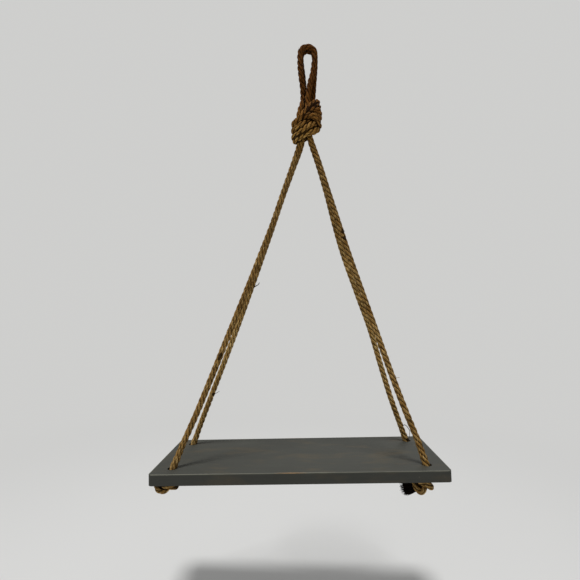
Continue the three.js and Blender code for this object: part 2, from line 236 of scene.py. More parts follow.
def leg_points(side, end):
    (x, z), bows = leg_out[f"{side}_{end}"]
    y = towards[side] * rope_side
    out = knot_middle + np.array((x * mm, y, z * mm))
    inside = np.array((out[0] / 2, y, knot_middle[2] - knot_half_height / 2))
    hx, hy = towards[end] * hole_x, towards[side] * hole_y
    inward = (knot_middle - on_board(hx, hy, 0)) * (1, 1, 0)
    inward /= np.linalg.norm(inward)
    rim = on_board(hx + inward[0] * rim_lean, hy + inward[1] * rim_lean, 0)
    points = [inside, out]
    for share, bow in zip(way_shares, bows):
        points.append(out + (rim - out) * share + np.array((bow * mm, 0, 0)))
    last = points[-1]
    points.append(rim + (last - rim) * straight_foot / (last[2] - rim[2]))
    points.append(rim)
    for share, depth in ((0.5, 1 / 3), (1, 2 / 3), (1, 1)):
        reach = hole_lean * share
        points.append(on_board(hx - inward[0] * reach, hy - inward[1] * reach, -board_thickness * depth))
    return points


# %% [markdown]
# ### The turns of the big knot
# Seven slanting turns bind the knot. The front rope makes the four upper ones: two climb to
# the right shoulder, and two arch over a dark hollow and run down the right side.
# The back rope makes the three below. Each turn begins and ends inside, under its neighbours,
# and its places are counted from the middle of the knot.

# %% Routes of the turns
turns = [
    ("front", [
        (4, 10, 35), (10.5, 17, 40), (18, 10, 43), (20.2, 1, 41), (18, -8, 37), (12.5, -14.5, 31),
        (5.7, -18.5, 23), (-3.2, -21, 11), (-12.2, -20, -0.5), (-20, -13, -5), (-24.5, -3, -5),
        (-22, 7, -6), (-13, 15, -4), (-1, 19, 6), (8, 18.5, 19), (12, 12, 27),
    ]),
    ("front", [
        (3, -9, 14), (8, -14.5, 20.5), (13.5, -15, 25.5), (18.5, -10, 29), (22, -2, 30.5),
        (22.5, 6, 29), (18, 13, 25), (10, 16.5, 19.5), (1, 16, 13),
    ]),
    ("front", [
        (-8.5, -10, 1.5), (-4.5, -16, 6.5), (1, -19.5, 11.5), (7.7, -19.5, 16), (15, -16, 19.5),
        (21.3, -9, 19.7), (24.5, 0, 16.5), (24, 9, 11.5), (18, 15.5, 6), (7, 18.5, 0.5),
        (-5, 17, -6.5), (-15, 10, -13),
    ]),
    ("front", [
        (-12, -8, -4), (-8.2, -15.5, -1.8), (-1.8, -20, 1.3), (5.9, -21, 4.8), (13, -18.5, 5),
        (18.3, -14, 1), (22.5, -8, -4), (23.7, 0, -9), (18.5, 9, -13), (8, 13, -13.5),
        (-2, 11, -12),
    ]),
    ("back", [
        (12, 2, 4), (8.5, -4, 1), (3.5, -12.5, -4), (-3.2, -18.5, -9.5), (-11, -20, -15),
        (-18, -16, -19.3), (-24, -6, -19.4), (-23, 5, -18.4), (-14, 13, -18), (-3, 17, -10),
        (9, 16, -2), (14, 9, 0),
    ]),
    ("back", [
        (9, 2, -9), (14.5, -6, -8.5), (12.5, -14, -10), (4.7, -20, -16.4), (-3, -21, -23.5),
        (-10.7, -19.5, -29), (-18, -14, -32.3), (-23.4, -4, -32), (-22, 6, -31.4), (-13, 13, -29),
        (-3, 16, -25), (6, 12, -21),
    ]),
    ("back", [
        (8, 8, -13), (16, 3, -15), (19.5, -5, -16.5), (14.7, -12.5, -22.4), (7, -16.5, -27.6),
        (-1, -17.5, -30), (-8.7, -17, -33.5), (-15.5, -13.5, -37.7), (-20.5, -6, -39.3),
        (-20.7, 3, -37.4), (-12.7, 10, -33), (-4, 13, -28), (4, 12, -22),
    ]),
]
turn_lines = [(rope, evenly(curve_through(knot_middle + np.array(places) * mm))) for rope, places in turns]
print("rope in the turns in mm:", lengths_mm(line for _, line in turn_lines))

# %% [markdown]
# ### The stopper knots
# Under each hole the rope is tied in an overhand knot and pulled tight, which squeezes it a
# little. The route is given once, in shares of the squeezed rope. Each corner turns it by some
# degrees, lets it hang more or less, may pull it narrower, and leads its tail on or across.

# %% Routes of the stopper knots
squeezed_diameter = rope_diameter * 0.76
stopper_unit = squeezed_diameter + 0.7 * mm
stopper_shares = [
    (0, 0, 0), (0, 0, -0.2), (-0.2, -0.08, -0.55), (-0.45, -0.38, -1.08), (-0.7, -0.84, -1.58),
    (-1.15, -1.27, -1.78), (-1.75, -1.5, -1.55), (-2.3, -1.3, -1.15), (-2.55, -0.75, -0.75),
    (-2.4, -0.1, -0.6), (-1.9, 0.45, -0.6), (-1.3, 0.75, -0.8), (-0.6, 0.9, -1.05),
    (0.1, 0.8, -1.2), (0.6, 0.25, -1.25), (0.68, -0.5, -1.05), (0.3, -1.15, -0.75),
    (-0.4, -1.4, -0.6), (-1.12, -1.15, -0.6), (-1.53, -0.58, -0.9), (-1.77, -0.38, -1.47),
]
tails = {
    "on": [(-2.15, -0.4, -1.5), (-2.5, -0.42, -1.55)],
    "across": [(-2, 0.05, -1.72), (-1.85, 0.6, -1.68), (-1.6, 1.15, -1.6)],
}
stoppers = {
    "front_left": (-20, 0.92, 1, "across"),
    "back_left": (120, 1.2, 1, "on"),
    "front_right": (-36, 1.42, 0.79, "on"),
    "back_right": (160, 1.1, 1, "across"),
}
under_board = board_thickness + 0.3 * mm


def stopper_points(side, end):
    turn, hang, narrow, tail = stoppers[f"{side}_{end}"]
    c, s = math.cos(math.radians(turn)), math.sin(math.radians(turn))
    points = []
    for x, y, z in np.array(stopper_shares + tails[tail]) * (stopper_unit, stopper_unit, hang * stopper_unit):
        across, deep = (c * x - s * y) * narrow, s * x + c * y
        points.append(on_board(
            towards[end] * hole_x + across, towards[side] * hole_y + deep, z - under_board
        ))
    return points


leg_lines, stopper_lines = {}, {}
for side, end in corners:
    leg_lines[side, end] = evenly(curve_through(leg_points(side, end)))
    stopper_lines[side, end] = evenly(curve_through(stopper_points(side, end)))
print("legs in mm:", lengths_mm(leg_lines.values()))
print("stopper knots in mm:", lengths_mm(stopper_lines.values()))

# %% [markdown]
# ## Jute
# This jute rope has four strands, each twisted from yarns of coarse golden fibre. Seen close,
# the yarns lie nearly in line with the rope, each with a tone of its own, the fibres make short
# straw-coloured streaks, and the grooves are painted dark, partly as dirt and partly as shade.
# The rope's mesh carries two attributes for this: `yarn`, the place round and along a strand,
# and `depth`, how far a point is from the rope's middle.
#
# Materials and shapes are both made of nodes. The helpers below find the tree from the sockets
# that they are given, and teach the sockets plain arithmetic: `a * b` adds a Math node.

# %% Node helpers
NodeSocket = bpy.types.NodeSocket


def add_node(tree, kind, **settings):
    node = tree.nodes.new(kind)
    for name, value in settings.items():
        setattr(node, name, value)
    return node


def give(socket, value):
    """Link a socket to another one, or give it a plain value."""
    if isinstance(value, NodeSocket):
        socket.id_data.links.new(value, socket)
    elif value is not None:
        socket.default_value = value


def feed(node, **values):
    """Give values to a node's inputs by name, with _ for each space."""
    for name, value in values.items():
        give(node.inputs[name.replace("_", " ")], value)


def tree_of(*values):
    """The node tree of the first socket among the values."""
    return next(value.id_data for value in values if isinstance(value, NodeSocket))


def fed_in_order(kind, values, **settings):
    """The first output of a new node whose inputs take the values in their order."""
    node = add_node(tree_of(*values), kind, **settings)
    for socket, value in zip(node.inputs, values):
        give(socket, value)
    return node.outputs[0]


def math_of(operation, *values):
    return fed_in_order("ShaderNodeMath", values, operation=operation)


NodeSocket.__add__ = lambda a, b: math_of("ADD", a, b)
NodeSocket.__sub__ = lambda a, b: math_of("SUBTRACT", a, b)
NodeSocket.__rsub__ = lambda b, a: math_of("SUBTRACT", a, b)
NodeSocket.__mul__ = lambda a, b: math_of("MULTIPLY", a, b)
NodeSocket.__truediv__ = lambda a, b: math_of("DIVIDE", a, b)
NodeSocket.__pow__ = lambda a, b: math_of("POWER", a, b)


def vector_of(operation, first, second=None, scale=None):
    node = add_node(tree_of(first), "ShaderNodeVectorMath", operation=operation)
    give(node.inputs[0], first)
    give(node.inputs[1], second)
    if scale is not None:
        feed(node, Scale=scale)
    return node.outputs["Value" if operation in ("DOT_PRODUCT", "LENGTH") else "Vector"]


def joined_vector(*parts):
    return fed_in_order("ShaderNodeCombineXYZ", parts)


def parts_of(vector):
    node = add_node(tree_of(vector), "ShaderNodeSeparateXYZ")
    give(node.inputs[0], vector)
    return list(node.outputs)


# %% Pattern and colour helpers
def object_place(tree):
    return add_node(tree, "ShaderNodeTexCoord").outputs["Object"]


def noise(vector, scale, detail=2.0, roughness=0.5, stretch=None):
    if stretch is not None:
        vector = vector_of("MULTIPLY", vector, stretch)
    node = add_node(tree_of(vector), "ShaderNodeTexNoise")
    feed(node, Vector=vector, Scale=scale, Detail=detail, Roughness=roughness)
    return node.outputs["Fac"]


def spread(value, low, high, to_low=0.0, to_high=1.0, smooth=False):
    """The value's range from low to high, spread over the range from to_low to to_high."""
    way = "SMOOTHSTEP" if smooth else "LINEAR"
    return fed_in_order("ShaderNodeMapRange", (value, low, high, to_low, to_high), interpolation_type=way)


def colour_steps(value, *steps):
    node = add_node(tree_of(value), "ShaderNodeValToRGB")
    give(node.inputs[0], value)
    while len(node.color_ramp.elements) < len(steps):
        node.color_ramp.elements.new(0.5)
    for element, (place, colour) in zip(node.color_ramp.elements, steps):
        element.position = place
        element.color = (*colour, 1)
    return node.outputs[0]


def mixed(share, first, second, way="MIX"):
    node = add_node(tree_of(share, first, second), "ShaderNodeMix", data_type="RGBA", blend_type=way)
    for place, value in ((0, share), (6, first), (7, second)):
        give(node.inputs[place], (*value, 1) if isinstance(value, tuple) else value)
    return node.outputs[2]


def tinted(colour, tint):
    return mixed(1.0, colour, tint, "MULTIPLY")


def new_material(name):
    material = bpy.data.materials.new(name)
    material.use_nodes = True
    tree = material.node_tree
    return material, tree, tree.nodes["Principled BSDF"]


def bumped(shader, height, distance):
    node = add_node(shader.id_data, "ShaderNodeBump")
    feed(node, Height=height, Distance=distance)
    feed(shader, Normal=node.outputs[0])


# %% [markdown]
# The yarns are a saw of ridges round each strand, and the fibres are noise stretched along the
# yarns. Both use the angle round the strand minus its twist, so they follow the yarns. The
# angle goes into the noise as a cosine and a sine, which leaves no seam.

# %% Jute rope material
lay_length, yarn_lay, yarns = 48 * mm, 36 * mm, 8
# Painted light and shade by height: the lower part of the big knot is painted lighter, and its upper part and
# the loop are painted darker as shade.
height_light_low, height_light_high = -0.24, -0.07
height_light_and_shade_steps = (
    (0.0, (0.82, 0.82, 0.82)), (0.34, (1.12, 1.05, 0.82)), (0.5, (0.76, 0.61, 0.44)),
    (0.735, (0.56, 0.38, 0.24)), (0.9, (0.38, 0.232, 0.12)),
)
# Painted shade: the rope is painted darker towards the top, from the lower legs up to the knot.
upper_shade_low, upper_shade_high = -0.72, -0.25


def jute_material(name, tones, light_and_shade_share, paler=0.0):
    dark, middle, light, groove_dirt_and_shade = tones
    material, tree, shader = new_material(name)
    place = add_node(tree, "ShaderNodeAttribute", attribute_name="yarn").outputs["Vector"]
    depth = add_node(tree, "ShaderNodeAttribute", attribute_name="depth").outputs["Fac"]
    to_side, to_front, along = parts_of(place)
    twisted = math_of("ARCTAN2", to_front, to_side) - along * (math.tau / yarn_lay)
    count = twisted * (yarns / math.tau)
    ridge = math_of("SINE", math_of("FRACT", count) * math.pi)
    own = math_of("FLOOR", math_of("WRAP", count, float(yarns), 0.0))
    ring = joined_vector(
        math_of("COSINE", twisted) * 0.003, math_of("SINE", twisted) * 0.003, along * 0.07
    )
    fibres = noise(ring, 2600, 3, 0.65)
    streaks = noise(ring, 700, 2, 0.6, (1, 1, 1.6))
    shades = noise(joined_vector(own, along * 75.0, 0.0), 0.9, 1, 0.5)
    coords = object_place(tree)
    mottle = noise(coords, 330, 2, 0.6)
    blotch = noise(coords, 55, 3, 0.6)
    tone = fibres * 0.2 + streaks * 0.25 + shades * 0.3 + mottle * 0.1 + blotch * 0.15
    colour = colour_steps(tone, (0.4, dark), (0.5, middle), (0.6, light))
    rusty = spread(noise(coords, 140, 2, 0.6), 0.46, 0.62, 0.0, 0.55, smooth=True)
    colour = mixed(rusty, colour, tinted(colour, (1.0, 0.8, 0.5)))
    # Painted shade: the furrows between the yarns are darkened to half.
    furrow_shade = spread(ridge, 0.05, 0.6, 0.5, 1.0)
    colour = tinted(colour, joined_vector(furrow_shade, furrow_shade, furrow_shade))
    # Painted shade and dirt: where depth is low, in the grooves between strands and in the clefts, the colour
    # goes to the groove tone.
    ragged = depth + (mottle - 0.5) * 0.25
    colour = mixed(spread(ragged, 0.64, 0.95, 0.92, 0.0, smooth=True), colour, groove_dirt_and_shade)
    z = parts_of(coords)[2]
    # Painted light and shade by height on the big knot and the loop.
    height_light_and_shade = colour_steps(spread(z, height_light_low, height_light_high), *height_light_and_shade_steps)
    colour = mixed(light_and_shade_share, colour, tinted(colour, height_light_and_shade))
    # Painted shade: darker towards the top of the legs.
    upper_shade = spread(z, upper_shade_low, upper_shade_high, 0.0, light_and_shade_share)
    colour = mixed(upper_shade, colour, tinted(colour, (0.73, 0.72, 0.69)))
    # Painted light: where paler is given, the rope is painted lighter and a little bluer below z -0.4, to
    # offset the shade that the front legs cast on the back legs.
    painted_light_below = [spread(z, -0.2, -0.4, 1.0, 1.0 + paler * part) for part in (1.0, 1.25, 1.5)]
    colour = vector_of("MULTIPLY", colour, joined_vector(*painted_light_below))
    roughness = spread(fibres, 0.3, 0.7, 0.95, 0.72)
    feed(shader, Base_Color=colour, Roughness=roughness, Specular_IOR_Level=0.06)
    bumped(shader, ridge * 0.55 + fibres * 0.45, 0.7 * mm)
    return material


# The last tone of each set is the groove colour, for dirt and painted shade.
laid_tones = ((0.12, 0.062, 0.015), (0.39, 0.232, 0.072), (0.84, 0.58, 0.243), (0.026, 0.012, 0.003))
frayed_tones = ((0.002, 0.001, 0.0005), (0.008, 0.004, 0.002), (0.035, 0.019, 0.008), (0.002, 0.001, 0.0005))
jute = jute_material("laid jute", laid_tones, 1.0)
lit_jute = jute_material("laid jute painted lighter", laid_tones, 1.0, 0.3)
frayed_jute = jute_material("frayed jute", frayed_tones, 0.0)

# %% Loose fibre material
hair, tree, shader = new_material("loose fibre")
tone = noise(object_place(tree), 300, 2, 0.6)
straw = colour_steps(tone, (0.35, (0.15, 0.09, 0.035)), (0.65, (0.52, 0.37, 0.18)))
feed(shader, Base_Color=straw, Roughness=0.7)
print("materials:", [m.name for m in (jute, lit_jute, frayed_jute, hair)])

# %% [markdown]
# ## The rope maker
# Geometry Nodes turn a line into laid rope. The line is copied once for each strand, every copy
# is pushed sideways by an angle that grows along it, and a circle swept along each copy makes
# the strand. The rope is laid the S way: its strands run from upper left to lower right. At the
# end the yarn and depth attributes are worked out from where each point lies round its strand,
# and loose fibres are scattered over the surface.

# %% Geometry Nodes helpers
def new_tree(name, **inputs):
    """A node tree with geometry in and out and one named input for each size."""
    tree = bpy.data.node_groups.new(name, "GeometryNodeTree")
    for way in ("INPUT", "OUTPUT"):
        tree.interface.new_socket("Geometry", in_out=way, socket_type="NodeSocketGeometry")
    for label, kind in inputs.items():
        tree.interface.new_socket(label, in_out="INPUT", socket_type="NodeSocket" + kind)
    return tree, add_node(tree, "NodeGroupInput").outputs, add_node(tree, "NodeGroupOutput").inputs[0]


def named(tree, name, kind="FLOAT_VECTOR"):
    node = add_node(tree, "GeometryNodeInputNamedAttribute", data_type=kind)
    feed(node, Name=name)
    return node.outputs["Attribute"]


def stored(geometry, name, value, kind="FLOAT_VECTOR"):
    node = add_node(tree_of(geometry), "GeometryNodeStoreNamedAttribute", data_type=kind, domain="POINT")
    feed(node, Geometry=geometry, Name=name, Value=value)
    return node.outputs[0]


def passed(kind, geometry, **values):
    """One geometry node with its first input linked and the named others fed."""
    node = add_node(tree_of(geometry), "GeometryNode" + kind)
    give(node.inputs[0], geometry)
    feed(node, **values)
    return node.outputs[0]


def tube(curve, sides, radius, scale):
    """A circle of few sides, swept along a curve and scaled on the way."""
    circle = add_node(tree_of(curve), "GeometryNodeCurvePrimitiveCircle", mode="RADIUS")
    feed(circle, Resolution=sides, Radius=radius)
    return passed(
        "CurveToMesh", curve, Profile_Curve=circle.outputs["Curve"], Scale=scale, Fill_Caps=True
    )


def chance(tree, low, high, seed):
    """A random number from low to high, or a random vector where they are vectors."""
    kind, place = ("FLOAT_VECTOR", 0) if isinstance(low, tuple) else ("FLOAT", 1)
    node = add_node(tree, "FunctionNodeRandomValue", data_type=kind)
    give(node.inputs[2 * place], low)
    give(node.inputs[2 * place + 1], high)
    feed(node, Seed=seed)
    return node.outputs[place]


def keep_result(piece, all_layers=False):
    """Replace a piece's mesh by what its modifiers make of it."""
    graph = bpy.context.evaluated_depsgraph_get()
    made = bpy.data.meshes.new_from_object(
        piece.evaluated_get(graph), preserve_all_data_layers=all_layers, depsgraph=graph
    )
    piece.modifiers.clear()
    old, piece.data = piece.data, made
    bpy.data.meshes.remove(old)
    made.name = piece.name


def run_tree(piece, tree, **values):
    """Put the tree on a piece, set its inputs, and keep the result as a plain mesh."""
    modifier = piece.modifiers.new(tree.name, "NODES")
    modifier.node_group = tree
    for item in tree.interface.items_tree:
        if item.in_out == "INPUT" and item.name in values:
            modifier[item.identifier] = values[item.name]
    piece.update_tag()
    keep_result(piece, all_layers=True)


# %% Tree that lays a rope
rope_tree, given, result = new_tree(
    "laid rope", Strands="Int", Lay="Float", Helix_share="Float", Strand_share="Float", Sides="Int",
    Rope_material="Material", Fibre_material="Material", Fibres_per_area="Float", Fibre_length="Float",
    Fibre_width="Float", Seed="Int",
)
t = rope_tree
ahead, sideways = named(t, "ahead"), named(t, "side")
along, girth = named(t, "along", "FLOAT"), named(t, "girth", "FLOAT")
across = vector_of("CROSS_PRODUCT", ahead, sideways)
copies = add_node(t, "GeometryNodeDuplicateElements", domain="SPLINE")
feed(copies, Geometry=passed("MeshToCurve", given["Geometry"]), Amount=given["Strands"])
angle = (copies.outputs["Duplicate Index"] / given["Strands"] - along / given["Lay"]) * math.tau
spoke = vector_of(
    "ADD", vector_of("SCALE", sideways, scale=math_of("COSINE", angle)),
    vector_of("SCALE", across, scale=math_of("SINE", angle)),
)
here = add_node(t, "GeometryNodeInputPosition").outputs[0]
strands = stored(copies.outputs["Geometry"], "axis", here)
out_of_axis = vector_of("SCALE", spoke, scale=girth * given["Helix_share"])
strands = stored(passed("SetPosition", strands, Offset=out_of_axis), "core", here)
swept = tube(strands, given["Sides"], 1, girth * given["Strand_share"])
out_of_core = vector_of("NORMALIZE", vector_of("SUBTRACT", here, named(t, "core")))
round_core = [vector_of("DOT_PRODUCT", out_of_core, way) for way in (sideways, across)]
swept = stored(swept, "yarn", joined_vector(*round_core, along))
from_axis = vector_of("LENGTH", vector_of("SUBTRACT", here, named(t, "axis")))
swept = stored(swept, "depth", from_axis * 2.0 / girth, "FLOAT")
swept = passed("SetShadeSmooth", swept, Shade_Smooth=True)
swept = passed("SetMaterial", swept, Material=given["Rope_material"])

# %% [markdown]
# Each loose fibre is a bent, tapered hair of three sides. It starts in the rope's surface and
# leans mostly along the rope, as broken fibres do that have worked out of the lay.

# %% Loose fibres on the rope
bent = add_node(t, "GeometryNodeCurveQuadraticBezier")
feed(bent, Resolution=4, Start=(0, 0, -0.1), Middle=(0.15, 0, 0.6), End=(-0.25, 0.1, 1))
taper = spread(add_node(t, "GeometryNodeSplineParameter").outputs["Factor"], 0.0, 1.0, 1.0, 0.2)
fibre = tube(bent.outputs["Curve"], 3, 0.5, taper * (given["Fibre_width"] / given["Fibre_length"]))
fibre = passed("SetMaterial", fibre, Material=given["Fibre_material"])
roots = add_node(t, "GeometryNodeDistributePointsOnFaces", distribute_method="RANDOM")
feed(roots, Mesh=swept, Density=given["Fibres_per_area"], Seed=given["Seed"])
along_rope = vector_of("SCALE", ahead, scale=chance(t, -1.6, 1.6, 11))
outward = vector_of("SCALE", roots.outputs["Normal"], scale=chance(t, 0.25, 0.9, 12))
any_way = chance(t, (-0.5, -0.5, -0.5), (0.5, 0.5, 0.5), 13)
aim = add_node(t, "FunctionNodeAlignRotationToVector", axis="Z")
feed(aim, Vector=vector_of("ADD", vector_of("ADD", along_rope, outward), any_way))
size = given["Fibre_length"] * chance(t, 0.45, 1.0, 14) ** 2.0
fibres = passed(
    "InstanceOnPoints", roots.outputs["Points"], Instance=fibre, Rotation=aim.outputs[0],
    Scale=joined_vector(size, size, size),
)
both = add_node(t, "GeometryNodeJoinGeometry")
for part in (passed("RealizeInstances", fibres), swept):
    give(both.inputs[0], part)
give(result, passed("RealizeInstances", both.outputs[0]))
print("nodes in the rope tree:", len(t.nodes))

# %% [markdown]
# ## Making the ropes
# A rope is cut into pieces where the shelf can bend, but its lay has to run on through every
# cut. So the sideways direction and the length are worked out once for a whole line, and each
# piece takes its own part of them.

# %% Rope pieces
def rope_line(line, girth=rope_diameter, start=0.0):
    """Everything a rope piece needs at each point of its middle line."""
    width = np.full(len(line), girth) if np.isscalar(girth) else girth
    return {
        "line": line, "ahead": headings(line), "side": carried_side(line),
        "along": start + length_along(line), "girth": width,
    }


def eased(share):
    """A share kept from 0 to 1, with a soft start and a soft stop."""
    share = np.clip(share, 0, 1)
    return share * share * (3 - 2 * share)


def part_of(rope, first, last):
    return {name: values[first:last + 1] for name, values in rope.items()}


def line_mesh(name, ropes):
    """One mesh of bare lines, one for each rope part, with their attributes."""
    mesh = bpy.data.meshes.new(name)
    places, edges = [], []
    for rope in ropes:
        first = len(places)
        places.extend(map(tuple, rope["line"]))
        edges.extend((first + i, first + i + 1) for i in range(len(rope["line"]) - 1))
    mesh.from_pydata(places, edges, [])
    for label in ("ahead", "side", "along", "girth"):
        values = np.concatenate([rope[label] for rope in ropes]).astype(np.float32)
        kind, key = ("FLOAT", "value") if values.ndim == 1 else ("FLOAT_VECTOR", "vector")
        mesh.attributes.new(label, kind, "POINT").data.foreach_set(key, values.ravel())
    return mesh


# %% [markdown]
# Where two ropes press on each other, the cleft between them is painted dark as shade. For every
# point of a piece the nearest middle line is its own rope, and the nearest other one, or its own
# line a good way on, tells how deep it sits in a cleft. There `depth` is lowered. The last
# stretch of each tail, next to its frayed end, is darkened too. So are a few dark spots on the
# legs, and one lobe of the front left stopper knot is painted dark as shade.

# %% Clefts between ropes
near_step = 4 * mm
all_lines = list(loop_lines.values()) + [line for _, line in turn_lines]
all_lines += [np.vstack([leg_lines[corner], stopper_lines[corner][1:]]) for corner in corners]
spaced = [evenly(line, near_step) for line in all_lines]
line_places = np.concatenate(spaced)
line_numbers = np.concatenate([np.full(len(line), number) for number, line in enumerate(spaced)])
line_lengths = np.concatenate([length_along(line) for line in spaced])
# Dark spots as x, y, z and radius: the first seven are dark marks on the legs and at the back right foot, and
# the last two are painted shade on a lobe of the front left stopper knot.
dark_spots_and_shade = np.array([
    (-145.5, -57, -606, 4), (-148, -58, -612, 3.4), (75.7, -31, -371, 4), (78.6, -31, -384, 4),
    (-180.5, 57, -697, 3.6), (222, 66, -781, 4), (-102.5, 36, -528, 3),
    (-219, -77, -831, 6.5), (-211, -75, -830, 7),
]) * mm  # each one's x, y, z and radius
loose_ends = {"on": 16 * mm, "across": 22 * mm}
tail_begins = {}
for number, corner in enumerate(corners, len(all_lines) - len(corners)):
    loose_end = loose_ends[stoppers["_".join(corner)][-1]]
    tail_begins[number] = length_along(all_lines[number])[-1] - loose_end
no_tail, own_reach, at_once = 9.0, 2.5 * rope_diameter, 8000


def darken_clefts(piece):
    places = np.empty(len(piece.data.vertices) * 3, np.float32)
    piece.data.vertices.foreach_get("co", places)
    places = places.reshape(-1, 3)
    depth = np.empty(len(places), np.float32)
    piece.data.attributes["depth"].data.foreach_get("value", depth)
    for first in range(0, len(places), at_once):
        some = places[first:first + at_once]
        far = np.linalg.norm(some[:, None, :] - line_places[None], axis=2)
        own = far.argmin(axis=1)
        same = line_numbers[None] == line_numbers[own][:, None]
        close = np.abs(line_lengths[None] - line_lengths[own][:, None]) < own_reach
        other = np.where(same & close, 1.0, far).min(axis=1)
        # Painted shade: the nearer another rope lies, the darker the cleft.
        cleft = (1.62 - other / (rope_diameter / 2)) / 0.5
        begins = np.array([tail_begins.get(int(n), no_tail) for n in line_numbers[own]])
        # Darker along the last stretch of each tail and at the dark spots, which include painted shade on the
        # front left stopper knot.
        loose = np.clip((line_lengths[own] - begins) / (5 * mm), 0, 1)
        for x, y, z, radius in dark_spots_and_shade:
            inside = 1.3 - np.linalg.norm(some - (x, y, z), axis=1) / radius
            loose = np.maximum(loose, np.clip(inside / 0.6, 0, 1))
        depth[first:first + at_once] -= np.maximum(0.4 * eased(cleft), 0.5 * loose)
    piece.data.attributes["depth"].data.foreach_set("value", depth)


made_ropes = []


def make_rope(name, ropes, seed, material=jute):
    piece = in_scene(name, line_mesh(name, ropes))
    run_tree(
        piece, rope_tree, Strands=4, Lay=lay_length, Helix_share=0.283, Strand_share=0.22, Sides=10,
        Rope_material=material, Fibre_material=hair, Fibres_per_area=13000.0, Fibre_length=7 * mm,
        Fibre_width=0.16 * mm, Seed=seed,
    )
    for spare in ("ahead", "side", "axis", "core", "girth", "along"):
        if spare in piece.data.attributes:
            piece.data.attributes.remove(piece.data.attributes[spare])
    darken_clefts(piece)
    made_ropes.append(piece)
    return piece


# %% [markdown]
# ### Loop and strands
# The crowns stay on the hook. Below them each strand is cut into three parts, named for how
# the shelf moves there: swinging to and from the wall, twisting, and swinging sideways.

# %% Loop and strands
cuts = [-6 * mm, -30 * mm, -70 * mm, -102 * mm]
bends = [
    ("bend", "upper_strand", "hook_loop", "upper_strands", -7 * mm, -28 * mm),
    ("twist", None, "upper_strands", "lower_strands", -32 * mm, -68 * mm),
    ("sway", "lower_strand", "lower_strands", "hanging_shelf", -74 * mm, -100 * mm),
]
inside_knot = {"front": [], "back": []}
for number, (name, line) in enumerate(loop_lines.items()):
    rope = rope_line(line)
    top = int(np.argmax(line[:, 2]))
    left = [int(np.argmin(abs(line[:top, 2] - cut))) for cut in cuts]
    right = [top + int(np.argmin(abs(line[top:, 2] - cut))) for cut in cuts]
    crown = make_rope(f"{name}_crown", [part_of(rope, left[0], right[0])], 10 + number)
    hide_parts(f"{name}_rope_crown")
    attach(crown, "hook_loop")
    for end, marks in (("left", left), ("right", right)):
        for step, (label, node, upper, lower, begin, stop) in enumerate(bends):
            first, last = sorted((marks[step], marks[step + 1]))
            piece = make_rope(f"{name}_{end}_{label}", [part_of(rope, first, last)], 20 + number * 10 + step)
            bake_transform(piece)
            if node:
                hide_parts(f"{name}_{end}_{node}")
    inside_knot[name] += [part_of(rope, 0, left[3]), part_of(rope, right[3], len(line) - 1)]
print("loop pieces:", len(made_ropes))

# %% [markdown]
# ### Legs, stopper knots and the big knot
# Leg and stopper knot are one line, so that the lay passes through the hole. The rope swells a
# little just above the hole and narrows where the knot squeezes it. What runs inside the big
# knot goes into the knot's piece, and a plain heart keeps light from passing between the turns.

# %% Legs and stopper knots
leg_start = knot_middle[2] - 52 * mm
taut_girth, stopper_girth, turn_girth = 11.35 * mm, 10.6 * mm, 13.2 * mm
swelling, swells_before, swells_over = 1.4 * mm, 26 * mm, 13 * mm
for number, (side, end) in enumerate(corners):
    leg, stopper = leg_lines[side, end], stopper_lines[side, end]
    whole = evenly(np.vstack([leg, stopper[1:]]))
    leg_length = length_along(leg)[-1]
    squeeze = eased((length_along(whole) - leg_length + 4 * mm) / (12 * mm))
    rope = rope_line(whole, taut_girth + (stopper_girth - taut_girth) * squeeze)
    rope["girth"] += swelling * np.exp(-(((rope["along"] - leg_length + swells_before) / swells_over) ** 2))
    begins = int(np.argmin(abs(whole[:, 2] - leg_start)))
    foot = int(np.searchsorted(rope["along"], leg_length))
    # The back legs take the copy of the jute that is painted lighter, as painted light.
    colouring = lit_jute if side == "back" else jute
    leg_piece = make_rope(f"{side}_{end}_leg_rope", [part_of(rope, begins, foot)], 40 + number, colouring)
    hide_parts(f"{side}_{end}_leg")
    stopper_piece = make_rope(f"{side}_{end}_stopper", [part_of(rope, foot, len(whole) - 1)], 50 + number)
    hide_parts(f"{side}_{end}_stopper_knot")
    for piece in (leg_piece, stopper_piece):
        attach(piece, "hanging_shelf")
    inside_knot[side].append(part_of(rope, 0, begins))

# %% The big knot
for number, name in enumerate(("front", "back")):
    wound = [
        rope_line(line, turn_girth, start=0.01 * i)
        for i, (rope, line) in enumerate(turn_lines) if rope == name
    ]
    knot = make_rope(f"{name}_knot", inside_knot[name] + wound, 60 + number)
    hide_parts(f"{name}_rope_knot")
    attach(knot, "hanging_shelf")

# %% Heart of the big knot
heart_size = Matrix.Diagonal((16 * mm, 11.5 * mm, 29 * mm, 1))
bpy.ops.mesh.primitive_uv_sphere_add(segments=32, ring_count=20, radius=1)
heart = bpy.context.object
heart.name = "knot_heart"
heart.data.transform(Matrix.Translation(Vector(knot_middle)) @ heart_size)
heart.data.shade_smooth()
heart.data.materials.append(jute)
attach(heart, "hanging_shelf")
print("rope pieces:", len(made_ropes), "faces:", sum(len(p.data.polygons) for p in made_ropes))

# %% [markdown]
# ### Stray fibres
# A few broken yarns have worked far out of the legs: one stands off to the right, three short
# ones curl off the pairs of legs, and one makes a loop beside the back right hole. Each is a
# thin tapered tube swept along a curve through a few places.

